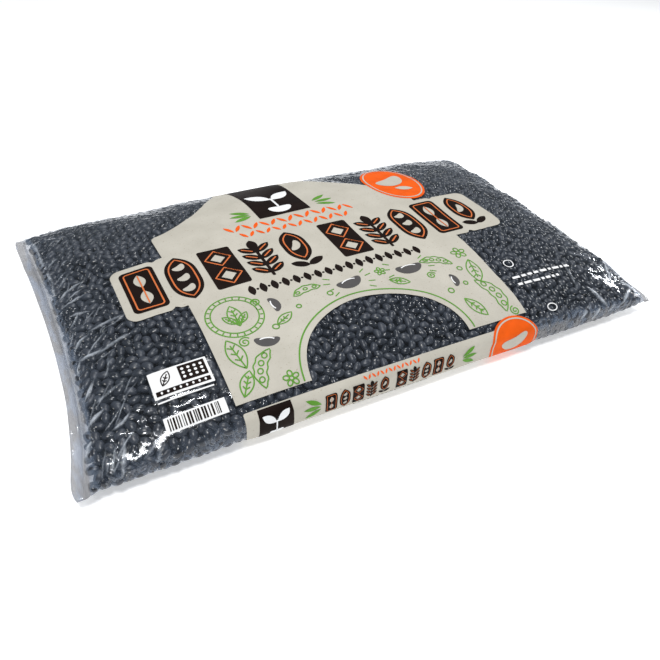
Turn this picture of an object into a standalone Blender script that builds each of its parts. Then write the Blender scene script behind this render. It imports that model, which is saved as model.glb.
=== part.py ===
"""A clear film bag of dried beans, lying flat, as one closed solid.

Metres, +Z up. The origin is on the floor under the middle of the bag. +X runs along the bag, from
one end seal to the other, and +Y points to the bag's far side. The solid is the film's outer
form: a pillow on a flat base, with bean-sized bumps under the film, creases that fan in from the
end seals, and a thin wavy band of sealed film along each end.
"""
import math
import random

import bmesh
import bpy

# Size of the whole bag
LENGTH = 0.524            # corner to corner of the film, before the corners are rounded
WIDTH = 0.326
END_WIDTH = 0.328
HEIGHT = 0.060
EDGE_HEIGHT = 0.029       # of the long sides' widest line

# End seals
SEAL_BAND = 0.007
SEAL_HEIGHT = 0.025
SEAL_HALF_THICK = 0.0012
FAR_CORNER_DROP = 0.003   # of the corners at +Y
NEAR_CORNER_DROP = 0.008  # of the corners at -Y
CORNER_ROUND = 0.003
LEFT_HOLLOW = 0.009       # how far the middle of an end pulls in between its corners
RIGHT_HOLLOW = 0.0065
HOLLOW_SKEW = 0.3         # how much deeper the hollows are towards -Y
BAND_WAVE = 0.0016
BAND_WAVE_PITCH = 0.062
BAND_BLEND = 0.020

# Corner at -X and -Y, which hangs lower, reaches further out and is rounder than the others
LOW_CORNER_DROP = 0.007
LOW_CORNER_REACH = 0.0095
LOW_CORNER_ROUND = 0.008
CENTRE_SHIFT = 0.00235    # brings the middle of the whole bag back over the origin

# Exponents of the pillow's curves
RUN_POWER = 2.2
RUN_ROUND = 3.1
TOP_POWER = 2.6
TOP_ROUND = 1.6
BASE_POWER = 8.0
BASE_ROUND = 2.2
SIDE_ROUND = 6.0
BASE_ENDS_FLAT = 1.03
BASE_SIDES_FLAT = 1.08

# Exponents of the ends' outline, along and across the bag
HOLLOW_RUN = 6
CORNER_RUN = 8
CORNER_ACROSS = 20
CORNER_FALL = 4
LOW_CORNER_FALL = 6
WAVE_FADE = 8

# Printed panel, where the film lies smoother
PANEL_X = -0.018
PANEL_HALF_LENGTH = 0.130
PANEL_HALF_WIDTH = 0.140
PANEL_EDGE = 0.005        # half width of the step from one relief to the other
PANEL_RELIEF = 0.35

# Relief of the beans under the film
BEAN_RELIEF = 0.0018
RELIEF_LOW = 0.004        # no relief under this height
RELIEF_FULL = 0.014
RELIEF_SEED = 11

# Wide shallow dips where the beans have settled
DIP_DEPTH = 0.0014
DIP_PITCH_X = 0.105
DIP_PITCH_Y = 0.088
DIP_PHASE = 0.6
DIP_TWIST = 4.0

# Creases from the end seals
CREASES_PER_END = 8
CREASE_HEIGHT = 0.0022
CREASE_HALF_WIDTH = 0.0045
CREASE_LENGTH = 0.046
CREASE_START = 0.0042     # inside the end seal's edge
CREASE_LEAN = math.radians(34)
CREASE_LEAN_SPREAD = math.radians(20)
CREASE_SEED = 5

# Fineness of the mesh
STATIONS = 82
END_CROWDING = 0.35       # 0 spaces the stations evenly, more crowds them towards the ends
TOP_COLUMNS = 54
BASE_COLUMNS = 22
CURVE_SAMPLES = 2000
NORMAL_STEP = 1e-4
NO_NORMAL = 1e-15         # below this length a cross product is taken as nothing
FLOOR_TOUCH = 1e-7

BAG_COLOUR = (0.035, 0.038, 0.048)
BAG_ROUGHNESS = 0.32

HALF_LENGTH = LENGTH / 2
BODY_HALF = HALF_LENGTH - SEAL_BAND
COLUMNS = TOP_COLUMNS + BASE_COLUMNS


def clear_scene():
    for item in list(bpy.data.objects):
        bpy.data.objects.remove(item, do_unlink=True)


def make_material(name, colour, roughness):
    material = bpy.data.materials.new(name)
    material.use_nodes = True
    shader = material.node_tree.nodes["Principled BSDF"]
    shader.inputs["Base Color"].default_value = (*colour, 1.0)
    shader.inputs["Roughness"].default_value = roughness
    shader.inputs["Metallic"].default_value = 0.0
    return material


def smooth(value, low, high):
    """0 below low, 1 above high, and an even ramp between them."""
    share = min(max((value - low) / (high - low), 0.0), 1.0)
    return share * share * (3 - 2 * share)


def fullness(x):
    """1 in the middle of the bag, 0 at and beyond the start of an end seal."""
    share = min(abs(x) / BODY_HALF, 1.0)
    return (1 - share ** RUN_POWER) ** (1 / RUN_ROUND)


def base_contact(x):
    """1 where the base lies on the floor, 0 at an end seal."""
    share = min(abs(x) / BODY_HALF, 1.0)
    return min(BASE_ENDS_FLAT * (1 - share ** BASE_POWER) ** (1 / BASE_ROUND), 1.0)


def low_corner(x, across):
    """1 at the corner that hangs low, 0 along the far side and at the other end."""
    return max(-across, 0.0) ** LOW_CORNER_FALL * smooth(-x, 0.0, HALF_LENGTH)


def skin_point(x, turn):
    """A point of the smooth skin: station x, and turn round the section, from +Y over the top."""
    full = fullness(x)
    run = abs(x) / HALF_LENGTH
    side = math.copysign(1.0, x)
    cosine = math.cos(turn)
    rise = abs(math.sin(turn))
    across = math.copysign(abs(cosine) ** (2 / TOP_POWER), cosine)
    half_width = (END_WIDTH + (WIDTH - END_WIDTH) * full) / 2
    low = low_corner(x, across)
    corner_drop = FAR_CORNER_DROP if across > 0 else NEAR_CORNER_DROP
    seal_height = SEAL_HEIGHT - corner_drop * across ** CORNER_FALL - LOW_CORNER_DROP * low
    edge = seal_height + (EDGE_HEIGHT - seal_height) * full
    if turn <= math.pi:
        top = SEAL_HALF_THICK + (HEIGHT - EDGE_HEIGHT - SEAL_HALF_THICK) * full
        z = edge + top * rise ** (2 / TOP_ROUND)
    else:
        lowest = (seal_height - SEAL_HALF_THICK) * (1 - base_contact(x))
        z = edge - (edge - lowest) * min(BASE_SIDES_FLAT * rise ** (2 / SIDE_ROUND), 1.0)
    depth = LEFT_HOLLOW if x < 0 else RIGHT_HOLLOW
    hollow = depth * run ** HOLLOW_RUN * (1 - across ** 2) * (1 - HOLLOW_SKEW * across)
    rounding = CORNER_ROUND + (LOW_CORNER_ROUND - CORNER_ROUND) * low
    corner = rounding * abs(across) ** CORNER_ACROSS - LOW_CORNER_REACH * low
    inward = hollow + corner * run ** CORNER_RUN
    wave = BAND_WAVE * smooth(abs(x), BODY_HALF - BAND_BLEND, HALF_LENGTH)
    wave *= 1 - across ** WAVE_FADE
    z += wave * math.sin(2 * math.pi * half_width * across / BAND_WAVE_PITCH)
    return (x - side * inward + CENTRE_SHIFT, half_width * across, z)


def difference(a, b):
    return tuple(q - p for p, q in zip(a, b))


def outward(x, turn):
    """Unit normal of the smooth skin, from small steps along and round it."""
    along = difference(skin_point(x - NORMAL_STEP, turn), skin_point(x + NORMAL_STEP, turn))
    before = (turn - NORMAL_STEP) % (2 * math.pi)
    round_it = difference(skin_point(x, before), skin_point(x, turn + NORMAL_STEP))
    normal = (
        round_it[1] * along[2] - round_it[2] * along[1],
        round_it[2] * along[0] - round_it[0] * along[2],
        round_it[0] * along[1] - round_it[1] * along[0],
    )
    size = math.sqrt(sum(part * part for part in normal))
    if size < NO_NORMAL:
        return (0.0, 0.0, 1.0)
    return tuple(part / size for part in normal)


def make_creases():
    """Start point, direction and length of each crease, in plan."""
    draw = random.Random(CREASE_SEED)
    creases = []
    pitch = WIDTH / CREASES_PER_END
    for side in (-1, 1):
        for number in range(CREASES_PER_END):
            start_y = -WIDTH / 2 + pitch * (number + 0.5 + draw.uniform(-0.25, 0.25))
            lean = CREASE_LEAN + draw.uniform(-1, 1) * CREASE_LEAN_SPREAD
            length = CREASE_LENGTH * draw.uniform(0.6, 1.3)
            start = (side * (BODY_HALF - CREASE_START), start_y)
            creases.append((start, (-side * math.cos(lean), math.sin(lean)), length))
    return creases


def crease_height(point, creases):
    height = 0.0
    for start, direction, length in creases:
        dx = point[0] - start[0]
        dy = point[1] - start[1]
        along = (dx * direction[0] + dy * direction[1]) / length
        if not 0 < along < 1:
            continue
        aside = (dx * direction[1] - dy * direction[0]) / CREASE_HALF_WIDTH
        height += CREASE_HEIGHT * math.exp(-aside * aside) * math.sin(math.pi * along)
    return height


def on_panel(point):
    """1 on the printed panel of the top face, 0 off it."""
    off_x = abs(point[0] - PANEL_X) - PANEL_HALF_LENGTH
    off_y = abs(point[1]) - PANEL_HALF_WIDTH
    return 1 - smooth(max(off_x, off_y), -PANEL_EDGE, PANEL_EDGE)


def dip(point):
    """Depth of the shallow dips, from 0 to DIP_DEPTH."""
    along = math.sin(2 * math.pi * point[0] / DIP_PITCH_X + DIP_PHASE)
    aside = math.cos(2 * math.pi * point[1] / DIP_PITCH_Y + DIP_TWIST * point[0] / LENGTH)
    return DIP_DEPTH * (0.5 + 0.5 * along * aside)


def equal_turns(count, first, last):
    """Turns that split a stretch of the middle section into equal lengths."""
    turns = [first + (last - first) * n / CURVE_SAMPLES for n in range(CURVE_SAMPLES + 1)]
    places = [skin_point(0.0, turn) for turn in turns]
    lengths = [0.0]
    for before, after in zip(places, places[1:]):
        lengths.append(lengths[-1] + math.dist(before, after))
    chosen = []
    position = 0
    for number in range(count):
        wanted = lengths[-1] * number / count
        while lengths[position] < wanted:
            position += 1
        chosen.append(turns[position])
    return chosen


def station_places():
    places = []
    for number in range(STATIONS):
        share = 2 * number / (STATIONS - 1) - 1
        crowded = math.sin(share * math.pi / 2)
        places.append(HALF_LENGTH * ((1 - END_CROWDING) * share + END_CROWDING * crowded))
    return places


def bag_vertices():
    """The skin with its relief, as one ring of points for each station."""
    draw = random.Random(RELIEF_SEED)
    creases = make_creases()
    turns = equal_turns(TOP_COLUMNS, 0.0, math.pi)
    turns += equal_turns(BASE_COLUMNS, math.pi, 2 * math.pi)
    rings = []
    for row, x in enumerate(station_places()):
        ring = []
        for column, turn in enumerate(turns):
            point = skin_point(x, turn)
            bump = draw.uniform(0.0, 0.5) if (row + column) % 2 else draw.uniform(0.5, 1.0)
            share = smooth(point[2], RELIEF_LOW, RELIEF_FULL) * fullness(x) ** 0.5
            push = -BEAN_RELIEF * bump * share
            if turn <= math.pi:
                push *= 1 - (1 - PANEL_RELIEF) * on_panel(point)
                push += (crease_height(point, creases) - dip(point)) * share
            normal = outward(x, turn)
            moved = tuple(p + push * n for p, n in zip(point, normal))
            ring.append((moved[0], moved[1], max(moved[2], 0.0)))
        rings.append(ring)
    return rings


def close_end(mesh, ring):
    """Faces between the two sheets of film along an end, from one corner to the other."""
    upper = ring[:TOP_COLUMNS + 1]
    lower = [ring[0]] + ring[:TOP_COLUMNS - 1:-1]
    low = 1
    for top in range(TOP_COLUMNS):
        while low < BASE_COLUMNS - 1 and (low + 0.5) / BASE_COLUMNS < top / TOP_COLUMNS:
            mesh.faces.new((upper[top], lower[low + 1], lower[low]))
            low += 1
        mesh.faces.new((upper[top], upper[top + 1], lower[low]))


def build_bag():
    mesh = bmesh.new()
    rings = [[mesh.verts.new(point) for point in ring] for ring in bag_vertices()]
    for before, after in zip(rings, rings[1:]):
        for column in range(COLUMNS):
            following = (column + 1) % COLUMNS
            mesh.faces.new((before[column], before[following], after[following], after[column]))
    close_end(mesh, rings[0])
    close_end(mesh, rings[-1])
    flat = [face for face in mesh.faces if all(vert.co.z < FLOOR_TOUCH for vert in face.verts)]
    bmesh.ops.dissolve_faces(mesh, faces=flat)
    bmesh.ops.triangulate(mesh, faces=[face for face in mesh.faces if len(face.verts) == 4])
    bmesh.ops.recalc_face_normals(mesh, faces=mesh.faces)
    data = bpy.data.meshes.new("bag")
    mesh.to_mesh(data)
    mesh.free()
    data.shade_smooth()
    bag = bpy.data.objects.new("bag", data)
    bpy.context.scene.collection.objects.link(bag)
    data.materials.append(make_material("film_over_beans", BAG_COLOUR, BAG_ROUGHNESS))


def main():
    clear_scene()
    build_bag()


main()
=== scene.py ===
"""Looks of a clear film bag of dried black beans, lying flat with its printed panel up.

The film, the beans under it, the print on it and the end seals all follow one skin: the pillow form
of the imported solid, sampled on a grid of rows along the bag and columns round it.
"""
import math

import bpy
import numpy as np
from mathutils import Matrix, Vector
from mathutils.geometry import delaunay_2d_cdt
from mathutils.kdtree import KDTree


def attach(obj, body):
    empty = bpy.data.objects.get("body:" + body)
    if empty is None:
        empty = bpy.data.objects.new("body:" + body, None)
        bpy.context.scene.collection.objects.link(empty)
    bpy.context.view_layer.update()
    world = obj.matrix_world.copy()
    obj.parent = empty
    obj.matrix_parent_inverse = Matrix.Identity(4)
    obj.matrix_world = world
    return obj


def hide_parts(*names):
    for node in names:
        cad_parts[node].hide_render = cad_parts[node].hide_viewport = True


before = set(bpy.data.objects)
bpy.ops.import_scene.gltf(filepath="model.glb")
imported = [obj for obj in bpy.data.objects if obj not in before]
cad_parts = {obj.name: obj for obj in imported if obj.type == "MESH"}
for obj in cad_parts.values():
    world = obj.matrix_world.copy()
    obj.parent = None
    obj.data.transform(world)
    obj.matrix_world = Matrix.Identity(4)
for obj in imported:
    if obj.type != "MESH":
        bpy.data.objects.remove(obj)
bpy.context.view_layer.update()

MM = 0.001

# Form of the bag, as in the solid
LENGTH = 0.524
WIDTH = 0.326
END_WIDTH = 0.328
HEIGHT = 0.060
EDGE_HEIGHT = 0.029
SEAL_BAND = 0.007
SEAL_HEIGHT = 0.025
SEAL_HALF_THICK = 0.0012
FAR_CORNER_DROP = 0.003
NEAR_CORNER_DROP = 0.008
CORNER_ROUND = 0.003
LEFT_HOLLOW = 0.009
RIGHT_HOLLOW = 0.0065
HOLLOW_SKEW = 0.3
HOLLOW_RUN = 6
CORNER_RUN = 8
CORNER_ACROSS = 20
CORNER_FALL = 4
LOW_CORNER_FALL = 6
LOW_CORNER_DROP = 0.007
LOW_CORNER_REACH = 0.0095
LOW_CORNER_ROUND = 0.008
BAND_WAVE = 0.0016
BAND_WAVE_PITCH = 0.062
BAND_BLEND = 0.020
WAVE_FADE = 8
CENTRE_SHIFT = 0.00235
RUN_POWER = 2.2
RUN_ROUND = 3.1
TOP_POWER = 2.6
TOP_ROUND = 1.6
BASE_POWER = 8.0
BASE_ROUND = 2.2
SIDE_ROUND = 6.0
BASE_ENDS_FLAT = 1.03
BASE_SIDES_FLAT = 1.08
DIP_DEPTH = 0.0014
DIP_PITCH_X = 0.105
DIP_PITCH_Y = 0.088
DIP_PHASE = 0.6
DIP_TWIST = 4.0
HALF_LENGTH = LENGTH / 2
BODY_HALF = HALF_LENGTH - SEAL_BAND

# Grid of the skin
ROW_STEP = 0.0015
COLUMNS = 552
FINE_COUNT = 4001
SEAL_PINCH = 0.18         # how near the two films lie in the seal, as a share of the solid's band

# Beans
BEAN_SIZE = np.array([0.0101, 0.0068, 0.0053])
BEAN_SPREAD = 0.08        # share by which sizes differ
BEAN_AREA = 60e-6         # of skin for each bean
BEAN_CLEAR = 0.0004
BEAN_DEPTH_SPREAD = 0.0008
BEAN_TILT = 0.16          # spread of the lean of a bean in the outer layer, in radians
BEAN_OUT = 0.0012         # a bean that comes further through the film than this is left out
RAGGED = 0.0035           # how far the ends of the outer layer wander
SECOND_LAYER = 0.0046
SECOND_TILT = 0.25
SECOND_CLEAR = 0.003
CORE_DEPTH = 0.0085
LOW_SHARE = 0.285         # share of the girth, from the top's middle, where the base begins
EYE_SHARE = 0.45          # of the beans show their eye
BEAN_SEED = 3

# Film
FILM_COLUMNS = 320
FILM_GLOSS = 0.045        # how much gloss the film shows when seen straight on
FILM_MIRROR = (0.75, 0.77, 0.80, 1.0)
HAZE = 0.008
# Painted reflection of the bright surroundings, laid on the side walls as milk
SIDE_PAINTED_REFLECTION = 0.13
# Painted reflection of the bright surroundings, laid near the ends as milk
END_PAINTED_REFLECTION = 0.018
FIN_HAZE = 0.40
SLACK_PAINTED_REFLECTION = 0.42         # painted reflection, low on the near side, right of the strip, where the film hangs off the beans
SEAM_HAZE = 0.10
RELIEF_SHARE = 0.5        # of the beans' relief that the film keeps
RELIEF_SOFTENING = 5      # passes that draw the film flatter between the beans
RELIEF_LOWEST = -0.0024   # how far the film may be drawn in between beans
RELIEF_CLEAR = 0.0002     # of the film over the beans
PRINT_RELIEF = 0.25       # of the evened relief that shows under print
FAR_CALM = 0.6            # of the relief that is lost on the far side
END_ZONE = 0.042          # at each end, where the film's rows lie closer together

# Camera, fitted to the photograph's outlines
CAMERA_PLACE = (-0.2477, -0.4552, 0.3617)
CAMERA_YAW = math.radians(29.45)
CAMERA_PITCH = math.radians(38.63)
CAMERA_ROLL = math.radians(3.33)
CAMERA_LENS = 35.07

# Lifts of the printed layers over the film
LIFT_BASE = 0.00025
LIFT_FIELD = 0.0004
LIFT_ART = 0.00045
LIFT_FINE = 0.00058
LINE_LAYER = 0.00001
PRINT_STEP = 2.5


def smooth(value, low, high):
    """0 below low, 1 above high, and an even ramp between them."""
    share = np.clip((value - low) / (high - low), 0.0, 1.0)
    return share * share * (3 - 2 * share)


def unit(vectors):
    return vectors / np.maximum(np.linalg.norm(vectors, axis=-1, keepdims=True), 1e-12)


def square_to(vectors, axis):
    """Unit vectors, less what of them lies along a unit axis."""
    return unit(vectors - axis * (vectors * axis).sum(axis=1, keepdims=True))


# The skin

def fullness(x):
    share = np.minimum(np.abs(x) / BODY_HALF, 1.0)
    return (1 - share ** RUN_POWER) ** (1 / RUN_ROUND)


def base_contact(x):
    share = np.minimum(np.abs(x) / BODY_HALF, 1.0)
    return np.minimum(BASE_ENDS_FLAT * (1 - share ** BASE_POWER) ** (1 / BASE_ROUND), 1.0)


def skin(x, turn):
    """Points of the smooth skin at stations x and turns round the section, 0 at +Y, over the top."""
    full = fullness(x)
    run = np.abs(x) / HALF_LENGTH
    rise = np.abs(np.sin(turn))
    across = np.sign(np.cos(turn)) * np.abs(np.cos(turn)) ** (2 / TOP_POWER)
    half_width = (END_WIDTH + (WIDTH - END_WIDTH) * full) / 2
    corner = np.maximum(-across, 0) ** LOW_CORNER_FALL * smooth(-x, 0.0, HALF_LENGTH)
    drop = np.where(across > 0, FAR_CORNER_DROP, NEAR_CORNER_DROP)
    seal = SEAL_HEIGHT - drop * across ** CORNER_FALL - LOW_CORNER_DROP * corner
    edge = seal + (EDGE_HEIGHT - seal) * full
    top = SEAL_HALF_THICK + (HEIGHT - EDGE_HEIGHT - SEAL_HALF_THICK) * full
    lowest = (seal - SEAL_HALF_THICK) * (1 - base_contact(x))
    low = (edge - lowest) * np.minimum(BASE_SIDES_FLAT * rise ** (2 / SIDE_ROUND), 1.0)
    height = np.where(np.sin(turn) >= 0, top * rise ** (2 / TOP_ROUND), -low)
    pinch = 1 - (1 - SEAL_PINCH) * smooth(np.abs(x), BODY_HALF - 0.003, BODY_HALF + 0.001)
    wave = BAND_WAVE * smooth(np.abs(x), BODY_HALF - BAND_BLEND, HALF_LENGTH)
    wave = wave * np.sin(2 * np.pi * half_width * across / BAND_WAVE_PITCH) * (1 - across ** WAVE_FADE)
    hollow = np.where(x < 0, LEFT_HOLLOW, RIGHT_HOLLOW) * run ** HOLLOW_RUN
    inward = hollow * (1 - across ** 2) * (1 - HOLLOW_SKEW * across)
    rounding = CORNER_ROUND + (LOW_CORNER_ROUND - CORNER_ROUND) * corner
    inward += run ** CORNER_RUN * (rounding * np.abs(across) ** CORNER_ACROSS - LOW_CORNER_REACH * corner)
    height = edge + height * pinch + wave
    return np.stack([x - np.sign(x) * inward + CENTRE_SHIFT, half_width * across, height], -1)


def section_turns():
    """Turns from the base's middle, over the +Y edge, the top and the -Y edge, and back."""
    steep = np.arcsin(np.linspace(0, 1, 160) ** 3)
    low = np.unique(np.concatenate([steep, np.linspace(0, math.pi / 2, 200)]))
    return np.concatenate([-low[:0:-1], np.linspace(0, math.pi, 801), math.pi + low[1:]])


def run_lengths(points):
    """Lengths from the first point along a line of points."""
    steps = np.linalg.norm(np.diff(points, axis=0), axis=1)
    return np.concatenate([[0.0], np.cumsum(steps)])


def sample_skin():
    """Points of the skin at even steps round each row, and each row's girth."""
    turns = section_turns()
    grid = np.zeros((ROWS, COLUMNS, 3))
    girths = np.zeros(ROWS)
    for row, x in enumerate(ROW_X):
        points = skin(np.full(len(turns), x), turns)
        lengths = run_lengths(points)
        girths[row] = lengths[-1]
        wanted = lengths[-1] * np.arange(COLUMNS) / COLUMNS
        for axis in range(3):
            grid[row, :, axis] = np.interp(wanted, lengths, points[:, axis])
    return grid, girths


def grid_normals(grid):
    """Outward unit normals of a grid of points whose columns close on themselves."""
    round_it = np.roll(grid, -1, axis=1) - np.roll(grid, 1, axis=1)
    return unit(np.cross(round_it, np.gradient(grid, axis=0)))


def dip_depth(points):
    along = np.sin(2 * np.pi * points[:, :, 0] / DIP_PITCH_X + DIP_PHASE)
    aside = np.cos(2 * np.pi * points[:, :, 1] / DIP_PITCH_Y + DIP_TWIST * points[:, :, 0] / LENGTH)
    share = smooth(points[:, :, 2], 0.004, 0.014) * fullness(points[:, :, 0]) ** 0.5
    return DIP_DEPTH * (0.5 + 0.5 * along * aside) * share


FINE_X = HALF_LENGTH * np.sin(np.linspace(-math.pi / 2, math.pi / 2, FINE_COUNT))
FINE_LENGTH = run_lengths(skin(FINE_X, np.full(FINE_COUNT, math.pi / 2)))
RUN_HALF = FINE_LENGTH[-1] / 2
ROWS = 2 * round(RUN_HALF / ROW_STEP) + 1
ROW_X = np.interp(np.linspace(0, 2 * RUN_HALF, ROWS), FINE_LENGTH, FINE_X)
SKIN, GIRTHS = sample_skin()
NORMAL = grid_normals(SKIN)
SKIN -= NORMAL * (dip_depth(SKIN) * smooth(NORMAL[:, :, 2], 0.0, 0.5))[:, :, None]
NORMAL = grid_normals(SKIN)
GIRTH = GIRTHS[ROWS // 2]


def read_grid(grid, row, column):
    """Values of a grid between its points; its columns close on themselves."""
    rows, columns = grid.shape[:2]
    row = np.clip(row, 0, rows - 1.0001)
    r0 = row.astype(int)
    c0 = np.floor(column).astype(int)
    down = (row - r0)[..., None]
    over = (column - c0)[..., None]
    left, right = c0 % columns, (c0 + 1) % columns
    near = grid[r0, left] * (1 - over) + grid[r0, right] * over
    far = grid[r0 + 1, left] * (1 - over) + grid[r0 + 1, right] * over
    return near * (1 - down) + far * down


def read_surface(points, normals, row, column):
    return read_grid(points, row, column), unit(read_grid(normals, row, column))


def at_row(values, row):
    """Values that each row of the skin has one of, read between rows."""
    return np.interp(row, np.arange(ROWS), values)


def row_at(run):
    """Row at a distance along the skin from its middle."""
    return (run + RUN_HALF) / (2 * RUN_HALF) * (ROWS - 1)


def row_of(x):
    """Row at a station x."""
    return row_at(np.interp(x, FINE_X, FINE_LENGTH) - RUN_HALF)


# Printed layout, in millimetres: x along the bag, s round it from the top's middle line, + away
PANEL_X = -18.0
PANEL_HALF = 131.5
PANEL_LOW = -152.5
SHOULDER_S = 67.0
SHOULDER_CURVES = ((-1, 0.035, 1.727), (1, 0.19, 1.385))   # side, slope and power of the neck's curve
NECK_HALF = 46.0
NECK_TOP = 168.0
WINDOW_WIDE = 72.0
WINDOW_HIGH = 60.0
ARC_GAP = 5.5
TITLE_LEFT = -191.0
TITLE_RIGHT = 170.0
TITLE_LOW = -40.0
TITLE_HIGH = 20.0
TITLE_GAP = 18.0
TITLE_SLOTS = 10
TITLE_SPACE = 5.0
TITLE_RISE = 8.0          # of the title's right end
TITLE_RISE_FROM = 20.0
HALO = 7.0
BADGE = (118.2, 80.0, 30.3, 45.5)
STRIP = (-147.0, -204.0, 108.0, -160.0)
STRIP_BADGE = (94.0, -177.0, 25.5)


def arc(cx, cy, a, b, first, last, count):
    turns = np.linspace(math.radians(first), math.radians(last), count)
    return np.stack([cx + a * np.cos(turns), cy + b * np.sin(turns)], 1)


def ellipse(cx, cy, a, b=None, count=40):
    return arc(cx, cy, a, b or a, 0, 360 * (1 - 1 / count), count)


def rounded(x0, y0, x1, y1, radius, count=6):
    parts = []
    for x, y, first in ((x1, y1, 0), (x0, y1, 90), (x0, y0, 180), (x1, y0, 270)):
        cx = x - math.copysign(radius, x - (x0 + x1) / 2)
        cy = y - math.copysign(radius, y - (y0 + y1) / 2)
        parts.append(arc(cx, cy, radius, radius, first, first + 90, count))
    return np.concatenate(parts)


def tile(width, height, radius):
    """A rounded rectangle round the origin."""
    return rounded(-width / 2, -height / 2, width / 2, height / 2, radius)


def turned(points, angle, cx=0.0, cy=0.0):
    """Points turned by an angle in degrees and moved to a centre."""
    cosine = math.cos(math.radians(angle))
    sine = math.sin(math.radians(angle))
    return np.asarray(points) @ np.array([[cosine, sine], [-sine, cosine]]) + np.array([cx, cy])


def lens(length, width, count=14, power=2.0):
    """A pointed leaf shape along x, with its middle at the origin; a higher power makes it fuller."""
    along = np.linspace(-1, 1, count)
    upper = np.stack([along * length / 2, width / 2 * (1 - np.abs(along) ** power)], 1)
    return np.concatenate([upper, upper[::-1][1:-1] * [1, -1]])


def kidney(length, width, bend=0.28, count=36):
    turns = np.linspace(0, 2 * math.pi, count, endpoint=False)
    x = length / 2 * np.cos(turns)
    y = width / 2 * np.sin(turns) * (1 - 0.12 * np.exp(-(x / (0.3 * length)) ** 2))
    return np.stack([x, y + bend * width * ((2 * x / length) ** 2 - 0.5)], 1)


def finer(points, step, closed=True):
    """The same line with no gap between points longer than step."""
    following = np.roll(points, -1, axis=0) if closed else points[1:]
    parts = []
    for start, end in zip(points, following):
        pieces = max(1, math.ceil(np.linalg.norm(end - start) / step))
        parts.append(start + (end - start) * np.arange(pieces)[:, None] / pieces)
    if not closed:
        parts.append(points[-1:])
    return np.concatenate(parts)


def title_rise(points, rise):
    """The title's row climbs a little towards its right end."""
    share = np.maximum(points[:, 0] - TITLE_RISE_FROM, 0) / (TITLE_RIGHT - TITLE_RISE_FROM)
    return np.stack([points[:, 0], points[:, 1] + rise * share ** 2], 1)


def title_slots():
    """Left and right edge of each place in the title row, with a word's gap in the middle."""
    pitch = (TITLE_RIGHT - TITLE_LEFT - TITLE_GAP + TITLE_SPACE) / TITLE_SLOTS
    slots = []
    for number in range(TITLE_SLOTS):
        gap = TITLE_GAP - TITLE_SPACE if number >= TITLE_SLOTS // 2 else 0.0
        left = TITLE_LEFT + pitch * number + gap
        slots.append((left, left + pitch - TITLE_SPACE))
    return slots


def panel_outline():
    """A straight-sided panel whose shoulders curve in to a neck that runs up over the far edge."""
    halves = []
    for side, slope, power in SHOULDER_CURVES:
        edge = PANEL_X + side * PANEL_HALF
        inward = np.linspace(4.0, PANEL_HALF - NECK_HALF, 24)
        curve = np.stack([edge - side * inward, SHOULDER_S + slope * inward ** power], 1)
        corner = [(edge, PANEL_LOW), (edge, SHOULDER_S - 6.0), (edge - side * 0.8, SHOULDER_S - 2.0)]
        halves.append(np.concatenate([corner, curve, [(curve[-1, 0] - side * 1.5, NECK_TOP)]]))
    left, right = halves
    return np.concatenate([right, left[::-1]])


def halo_outline():
    """Cream band round the title, with a small notch between its places."""
    slots = title_slots()
    band = rounded(TITLE_LEFT - HALO, TITLE_LOW - HALO, TITLE_RIGHT + HALO, TITLE_HIGH + HALO, 9.0)
    outline = finer(band, 2.0)
    middle = (TITLE_LOW + TITLE_HIGH) / 2
    for before, after in zip(slots, slots[1:]):
        joint = (before[1] + after[0]) / 2
        notch = 3.2 * np.exp(-((outline[:, 0] - joint) / 2.4) ** 2)
        outline[:, 1] -= np.sign(outline[:, 1] - middle) * notch
    return title_rise(outline, TITLE_RISE)


WINDOW = np.concatenate([
    arc(PANEL_X, PANEL_LOW, WINDOW_WIDE, WINDOW_HIGH, 0, 180, 48),
    [[PANEL_X - WINDOW_WIDE, PANEL_LOW - 9], [PANEL_X + WINDOW_WIDE, PANEL_LOW - 9]],
])
PANEL = [panel_outline(), halo_outline()]
STRIP_OUTLINE = rounded(*STRIP, 1.5)
OPAQUE = [*PANEL, ellipse(*BADGE), STRIP_OUTLINE, ellipse(*STRIP_BADGE)]
MARK_AREAS = [rounded(-203, -134, -153, -101, 1.0), rounded(-202, -158, -152, -140, 1.0)]


def inside(points, outline):
    """Which points lie inside a closed outline, by the even-odd rule."""
    result = np.zeros(len(points), bool)
    fits = (points >= outline.min(axis=0)) & (points <= outline.max(axis=0))
    near = np.where(fits.all(axis=1))[0]
    x = points[near, 0][:, None]
    y = points[near, 1][:, None]
    start, end = outline, np.roll(outline, -1, axis=0)
    crosses = (start[:, 1] > y) != (end[:, 1] > y)
    rise = np.where(end[:, 1] == start[:, 1], 1e-12, end[:, 1] - start[:, 1])
    at = start[:, 0] + (y - start[:, 1]) / rise * (end[:, 0] - start[:, 0])
    result[near] = (crosses & (x < at)).sum(axis=1) % 2 == 1
    return result


def inside_any(points, outlines):
    hit = np.zeros(len(points), bool)
    for outline in outlines:
        hit |= inside(points, outline)
    return hit


def covered(points):
    """Which points (millimetres) lie under opaque print."""
    return inside_any(points, OPAQUE) & ~inside(points, WINDOW)


# Meshes

def make_mesh(name, points, faces, material, tones=None):
    """An object from arrays of points and faces of equal length, shaded smooth."""
    data = bpy.data.meshes.new(name)
    data.vertices.add(len(points))
    data.vertices.foreach_set("co", np.ascontiguousarray(points, dtype=np.float32).ravel())
    data.loops.add(faces.size)
    data.loops.foreach_set("vertex_index", np.ascontiguousarray(faces, dtype=np.int32).ravel())
    data.polygons.add(len(faces))
    data.polygons.foreach_set("loop_start", np.arange(0, faces.size, 3, dtype=np.int32))
    data.polygons.foreach_set("use_smooth", np.ones(len(faces), dtype=bool))
    if tones is not None:
        layer = data.attributes.new("tone", "FLOAT", "POINT")
        layer.data.foreach_set("value", tones.astype(np.float32))
    data.update(calc_edges=True)
    data.validate()
    data.materials.append(material)
    piece = bpy.data.objects.new(name, data)
    bpy.context.scene.collection.objects.link(piece)
    return piece


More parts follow.
